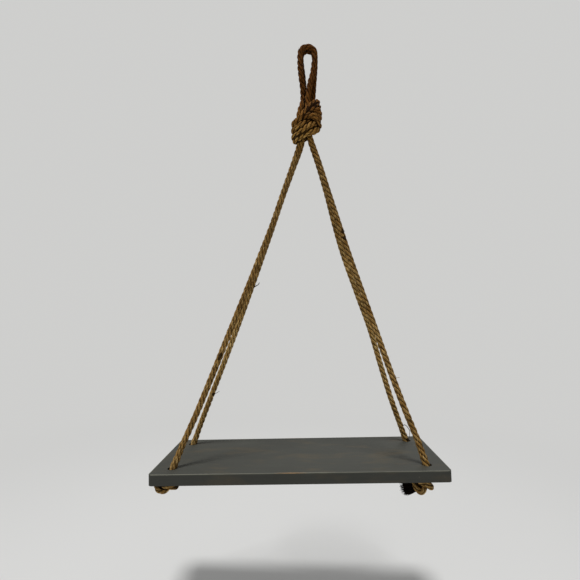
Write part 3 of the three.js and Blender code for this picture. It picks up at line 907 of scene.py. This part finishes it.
# %% Stray fibres
fibre_tree, given, result = new_tree("stray fibre", Sides="Int", Material="Material")
girth = named(fibre_tree, "girth", "FLOAT")
hair_tube = tube(passed("MeshToCurve", given["Geometry"]), given["Sides"], 0.5, girth)
hair_tube = passed("SetMaterial", hair_tube, Material=given["Material"])
give(result, passed("RealizeInstances", hair_tube))
stray_fibres = {
    "pale": (hair, [
        (1.1, [(165, -56, -635.5), (168.6, -57, -638.6), (175.6, -57.5, -638.8)]),
    ]),
    "dark": (frayed_jute, [
        (1.8, [(73, -27, -368.8), (76, -28, -369.6), (78.8, -28.5, -370.8)]),
        (1.2, [(-181.5, 57, -697.6), (-176.8, 57, -695.6), (-172.3, 57, -693.4), (-168, 57, -690.5)]),
        (2.2, [(-98, 32, -475.5), (-93, 32, -472.3), (-89.5, 32, -470), (-87.5, 32, -466)]),
        (1.5, [
            (211.4, 66, -757.9), (210.6, 66, -753.9), (214, 65.5, -751.4), (218.1, 65.5, -753.7),
            (222.2, 66, -758.8), (224.6, 66, -763.6), (224.4, 66, -769.6), (223.2, 66, -777.7),
            (222.2, 67, -781.7),
        ]),
    ]),
}
for name, (material, fibres_given) in stray_fibres.items():
    strays = []
    for width, places in fibres_given:
        line = evenly(curve_through(np.array(places) * mm), 0.8 * mm)
        strays.append(rope_line(line, np.linspace(width, 0.6 * width, len(line)) * mm))
    piece = in_scene(f"{name}_stray_fibres", line_mesh(f"{name}_stray_fibres", strays))
    run_tree(piece, fibre_tree, Sides=5, Material=material)
    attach(piece, "hanging_shelf")
    print(name, "stray fibres:", len(strays))

# %% [markdown]
# ## Frayed ends
# Behind the stopper knot the rope's end opens into a brush of loose yarns. Some hundreds of
# thin, bent bristles spread from a small disc. They too come from one tree, with fixed seeds.

# %% Tree that spreads a brush
brush_tree, given, result = new_tree(
    "frayed end", Count="Int", Length="Float", Root_width="Float", Tip_width="Float", Yarn_width="Float",
    Seed="Int", Material="Material",
)
t = brush_tree
single = add_node(t, "GeometryNodeCurvePrimitiveLine", mode="POINTS")
feed(single, End=(0, 0, 1))
many = add_node(t, "GeometryNodeDuplicateElements", domain="SPLINE")
seven_points = passed("ResampleCurve", single.outputs[0], Count=7)
feed(many, Geometry=seven_points, Amount=given["Count"])
factor = add_node(t, "GeometryNodeSplineParameter").outputs["Factor"]


def per_yarn(low, high, seed):
    """A random number that is the same all along one yarn."""
    number = chance(t, low, high, given["Seed"] + float(seed))
    feed(number.node, ID=many.outputs["Duplicate Index"])
    return number


ray = per_yarn(0.0, 1.0, 1) ** 0.5 * 0.5
way = per_yarn(0.0, 1.0, 2) * math.tau
width = given["Root_width"] + factor ** 0.8 * (given["Tip_width"] - given["Root_width"])
curl = math_of("SINE", factor * 5.0 + per_yarn(0.0, 6.0, 3)) * 0.06
radius = width * (ray + curl * factor)
around = way + factor * per_yarn(-0.5, 0.5, 4)
tall = factor * given["Length"] * per_yarn(0.6, 1.0, 5)
spread_out = passed(
    "SetPosition", many.outputs["Geometry"],
    Position=joined_vector(radius * math_of("COSINE", around), radius * math_of("SINE", around), tall),
)
bristles = tube(spread_out, 4, 0.5, given["Yarn_width"] * spread(factor, 0.0, 1.0, 1.0, 0.45))
yarn = joined_vector(math_of("COSINE", way), math_of("SINE", way), factor * 0.02)
bristles = stored(bristles, "yarn", yarn)
bristles = passed("SetMaterial", bristles, Material=given["Material"])
give(result, passed("RealizeInstances", bristles))

# %% Frayed ends
bristle_count = 800
fray_sizes = {"front_left": (20, 18), "back_left": (22, 21), "front_right": (27, 28), "back_right": (22, 21)}
for number, (side, end) in enumerate(corners):
    line = stopper_lines[side, end]
    fray_length, fray_width = (size * mm for size in fray_sizes[f"{side}_{end}"])
    piece = in_scene(f"{side}_{end}_fray", bpy.data.meshes.new("fray"))
    run_tree(
        piece, brush_tree, Count=bristle_count, Length=fray_length, Root_width=1.3 * squeezed_diameter,
        Tip_width=fray_width, Yarn_width=1.0 * mm, Seed=100 + number, Material=frayed_jute,
    )
    ahead = Vector(headings(line)[-1])
    root = Matrix.Translation(Vector(line[-1]) - ahead * 2 * mm)
    piece.data.transform(root @ ahead.to_track_quat("Z", "Y").to_matrix().to_4x4())
    depth = piece.data.attributes.new("depth", "FLOAT", "POINT")
    depth.data.foreach_set("value", np.full(len(piece.data.vertices), 1.0, np.float32))
    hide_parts(f"{side}_{end}_frayed_end")
    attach(piece, "hanging_shelf")
print("bristles in one fray:", bristle_count)

# %% [markdown]
# ## Board
# The plank was cut from planed stock, its corners were rounded, and it was painted with a
# brush in matte grey. The edges are eased by sanding, which in places has gone through the
# paint. A cutter for each hole and a rounded outline are enough for the shape; a bevel of
# three segments gives the edges the fine soft light line that a sharp edge never has.

# %% Board mesh
def rounded_outline(length, depth, radius, steps=10):
    points = []
    for cx, cy, first in ((1, -1, -90), (1, 1, 0), (-1, 1, 90), (-1, -1, 180)):
        for i in range(steps + 1):
            angle = math.radians(first + 90 * i / steps)
            points.append((
                cx * (length / 2 - radius) + radius * math.cos(angle),
                cy * (depth / 2 - radius) + radius * math.sin(angle),
            ))
    return points


def prism(name, outline, low, high):
    mesh = bpy.data.meshes.new(name)
    work = bmesh.new()
    floor = work.faces.new([work.verts.new((x, y, low)) for x, y in outline])
    lifted = bmesh.ops.extrude_face_region(work, geom=[floor])
    for item in lifted["geom"]:
        if isinstance(item, bmesh.types.BMVert):
            item.co.z = high
    bmesh.ops.recalc_face_normals(work, faces=work.faces)
    work.to_mesh(mesh)
    work.free()
    return in_scene(name, mesh)


def hole_outline(side, end):
    middle_x, middle_y, radius = towards[end] * hole_x, towards[side] * hole_y, hole_diameter / 2
    angles = np.linspace(0, math.tau, 40, endpoint=False)
    return [(middle_x + radius * math.cos(a), middle_y + radius * math.sin(a)) for a in angles]


corner_radius, past = 6.5 * mm, 5 * mm
plank = prism("painted_board", rounded_outline(board_length, board_depth, corner_radius), -board_thickness, 0)
for side, end in corners:
    cutter = prism("cutter", hole_outline(side, end), -board_thickness - past, past)
    drill = plank.modifiers.new("drill", "BOOLEAN")
    drill.operation, drill.object, drill.solver = "DIFFERENCE", cutter, "EXACT"
    keep_result(plank)
    bpy.data.objects.remove(cutter)
ease = plank.modifiers.new("eased edges", "BEVEL")
ease.width, ease.segments, ease.limit_method, ease.angle_limit = 1.0 * mm, 3, "ANGLE", math.radians(40)
keep_result(plank)
plank.data.shade_smooth()
soften = plank.modifiers.new("flat faces stay flat", "WEIGHTED_NORMAL")
soften.keep_sharp = True
keep_result(plank)
plank.data.transform(board_place)
print("board faces:", len(plank.data.polygons))

# %% [markdown]
# ### Paint
# The paint is a warm grey with faint brush marks along the board, and a little lighter where
# the coat is thin. Along the top front edge and at the corners it is worn to pale wood. The
# pattern is laid out on the board itself, so a Mapping node turns the coordinates back by the
# board's lean.

# %% Painted wood material
paint, tree, shader = new_material("worn grey paint")
level = add_node(tree, "ShaderNodeMapping", vector_type="POINT")
feed(
    level, Vector=vector_of("SUBTRACT", object_place(tree), tuple(board_middle)),
    Rotation=(0, board_lean, 0),
)
flat = level.outputs[0]
x, y, z = parts_of(flat)
brushed = noise(flat, 1.0, 4, 0.6, (14, 260, 260))
grain = noise(flat, 1.0, 5, 0.65, (7, 95, 95))
coat = brushed * 0.35 + grain * 0.3 + noise(flat, 9, 3, 0.55) * 0.35
paint_tones = (0.34, (0.037, 0.038, 0.031)), (0.52, (0.049, 0.05, 0.041)), (0.68, (0.066, 0.067, 0.056))
warm = spread(noise(flat, 1.0, 3, 0.65, (9, 22, 22)), 0.48, 0.68, 0.0, 0.7, smooth=True)
grey = mixed(warm, colour_steps(coat, *paint_tones), (0.076, 0.064, 0.042))


def to_edge(value, half):
    """How far a coordinate is inside the board's edge on the nearer side."""
    return half - math_of("ABSOLUTE", value)


def near_both(first, second, width):
    """One on the edge where two sides meet, and zero further from it than width."""
    far = math_of("SQRT", first ** 2.0 + second ** 2.0)
    return spread(far, width * 0.35, width, 1.0, 0.0, smooth=True)


edge_x, edge_y = to_edge(x, board_length / 2), to_edge(y, board_depth / 2)
under_top, over_foot = z * -1.0, z + board_thickness
top_front, top_end = near_both(edge_y, under_top, 2.0 * mm), near_both(edge_x, under_top, 1.8 * mm)
corner, foot = near_both(edge_x, edge_y, 2.6 * mm), near_both(edge_y, over_foot, 1.4 * mm)
worn = math_of("MAXIMUM", top_front, top_end) * 0.85 + math_of("MAXIMUM", corner, foot * 0.5) * 0.55
worn = worn * spread(noise(flat, 14, 2, 0.5), 0.38, 0.62, 0.85, 1.1)
rub = noise(flat, 1.0, 4, 0.7, (55, 420, 420))
worn = spread(worn + rub * 0.6, 0.72, 1.05, 0.0, 1.0, smooth=True)
wood = colour_steps(grain, (0.35, (0.1, 0.101, 0.081)), (0.65, (0.2, 0.198, 0.156)))
tan = spread(math_of("ABSOLUTE", x + 13 * mm), 8 * mm, 30 * mm, 0.75, 0.0)
wood = mixed(tan, wood, (0.34, 0.2, 0.085))
specks = spread(noise(flat, 260, 2, 0.5), 0.745, 0.76, 0.0, 0.7)
surface = mixed(specks, grey, (0.2, 0.19, 0.16))
# Painted shade: below the top, the front, back, ends and underside are painted at 0.8 of the top's colour.
below = spread(under_top, 1.5 * mm, 3 * mm, 0.0, 1.0)
surface = mixed(below, surface, tinted(surface, (0.8, 0.8, 0.8)))
surface = mixed(worn, surface, wood)
# Painted shade: the hole walls and a thin ring round each rim are painted nearly black.
to_hole = joined_vector(math_of("ABSOLUTE", x) - hole_x, math_of("ABSOLUTE", y) - hole_y, 0.0)
rim = hole_diameter / 2
hole_shade = spread(vector_of("LENGTH", to_hole), rim + 0.2 * mm, rim + 1.2 * mm, 1.0, 0.0)
surface = mixed(hole_shade, surface, (0.006, 0.005, 0.004))
feed(shader, Base_Color=surface, Roughness=spread(coat, 0.35, 0.65, 0.62, 0.78), Specular_IOR_Level=0.35)
bumped(shader, brushed * 0.5 + grain * 0.5 - worn * 0.35, 0.25 * mm)
plank.data.materials.clear()
plank.data.materials.append(paint)
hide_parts("board")
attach(plank, "hanging_shelf")

# %% [markdown]
# ## Floor, world and lamps
# A pale floor a hand's width below the shelf catches its soft shadow and fades into the pale
# world, so that no horizon cuts behind the shelf. A large soft lamp over the front lights the
# board's top more than its front edge, which the paint also darkens as painted shade, and weaker
# ones fill in from both sides.

# %% Floor and world
height, reach = -1.1, 12
pale, white = (0.62, 0.62, 0.61, 1), (1, 1, 1, 1)
floor_mesh = bpy.data.meshes.new("floor")
far_corners = [(x * reach, y * reach, height) for x, y in ((-1, -1), (1, -1), (1, 1), (-1, 1))]
floor_mesh.from_pydata(far_corners, [], [(0, 1, 2, 3)])
floor = in_scene("floor", floor_mesh)
floor_material, tree, shader = new_material("pale floor")
far = vector_of("LENGTH", vector_of("MULTIPLY", object_place(tree), (1, 1, 0)))
fade = spread(far, 0.5, 1.9, 0.0, 1.0, smooth=True)
feed(shader, Base_Color=(0.7, 0.7, 0.69, 1), Roughness=0.95, Specular_IOR_Level=0.1)
glow = add_node(tree, "ShaderNodeEmission")
feed(glow, Color=pale)


def shown(tree, output, share, first, second):
    """Show one shader mixed with another by a share."""
    blend = add_node(tree, "ShaderNodeMixShader")
    for socket, value in zip(blend.inputs, (share, first.outputs[0], second.outputs[0])):
        give(socket, value)
    feed(tree.nodes[output], Surface=blend.outputs[0])


shown(tree, "Material Output", fade, shader, glow)
floor_mesh.materials.append(floor_material)

world = bpy.data.worlds.new("studio")
bpy.context.scene.world = world
world.use_nodes = True
tree = world.node_tree
seen, lighting = tree.nodes["Background"], add_node(tree, "ShaderNodeBackground")
feed(seen, Color=pale)
feed(lighting, Color=white, Strength=0.27)
by_camera = add_node(tree, "ShaderNodeLightPath").outputs["Is Camera Ray"]
shown(tree, "World Output", by_camera, lighting, seen)

# %% Lamps
def soft_lamp(name, place, aim, width, watts):
    lamp = in_scene(name, bpy.data.lights.new(name, "AREA"))
    lamp.data.shape, lamp.data.size, lamp.data.energy = "DISK", width, watts
    lamp.location = place
    lamp.rotation_euler = (Vector(aim) - Vector(place)).to_track_quat("-Z", "Y").to_euler()


soft_lamp("key", (-0.38, -1.28, 4.78), (0, 0, -0.6), 1.28, 226)
soft_lamp("fill", (-1.3, -1.7, 0.2), (0, 0, -0.5), 1.4, 3.2)
soft_lamp("rear", (0.4, 1.6, 1.0), (0, 0, -0.6), 1.0, 8)
bpy.context.scene.view_settings.view_transform = "Standard"
